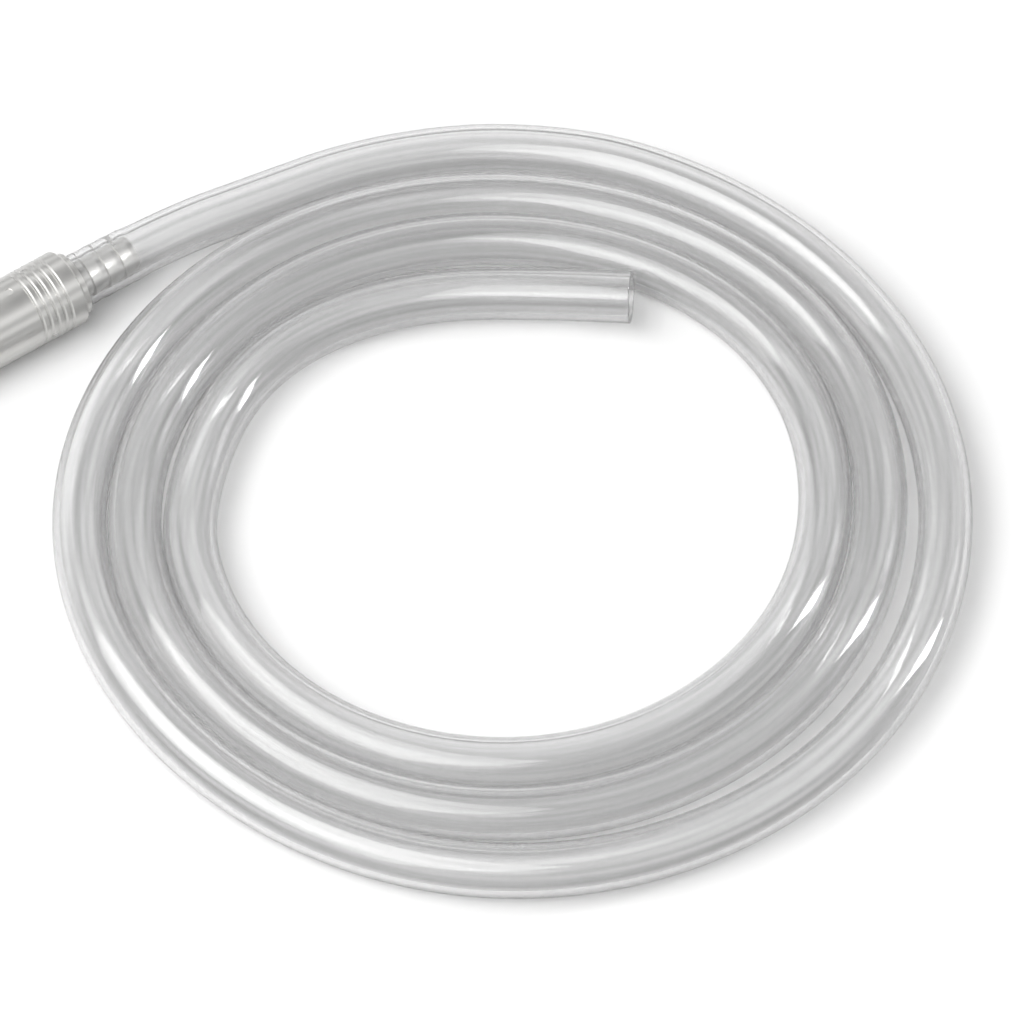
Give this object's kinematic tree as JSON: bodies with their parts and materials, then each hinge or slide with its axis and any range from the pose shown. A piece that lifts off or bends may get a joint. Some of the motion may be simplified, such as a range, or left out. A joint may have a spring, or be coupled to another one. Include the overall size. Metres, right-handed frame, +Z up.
{
  "type": "self-priming siphon hose",
  "caption": "Clear flexible hose in a loose flat coil, with a ball check valve tip on its intake end and a bare cut outlet.",
  "frame": {"origin": "on the surface that the siphon lies on, under the middle of the valve tip", "axes": "+Z up, +X and +Y along that surface: the coil lies towards +X of the tip, and the tip's intake end points towards -X and -Y"},
  "size_m": [0.264, 0.224, 0.019],
  "materials": {
    "clear_hose": "smooth clear soft PVC, glossy",
    "steel": "fine turned stainless steel",
    "seal": "matt black rubber",
    "ball": "polished clear glass"
  },
  "bodies": {
    "siphon": {"hose_coil": "clear_hose", "hose_inlet_tail": "clear_hose", "hose_outlet_end": "clear_hose", "hose_barb": "steel", "valve_body": "steel", "seat_ring": "steel", "stop_pin": "steel", "body_seal": "seal"},
    "ball": {"check_ball": "ball"}
  },
  "joints": [
    {"name": "ball_slide", "type": "slide", "parent": "siphon", "child": "ball", "axis": [0.809, 0.5878, 0], "range_m": [0, 0.012]}
  ]
}
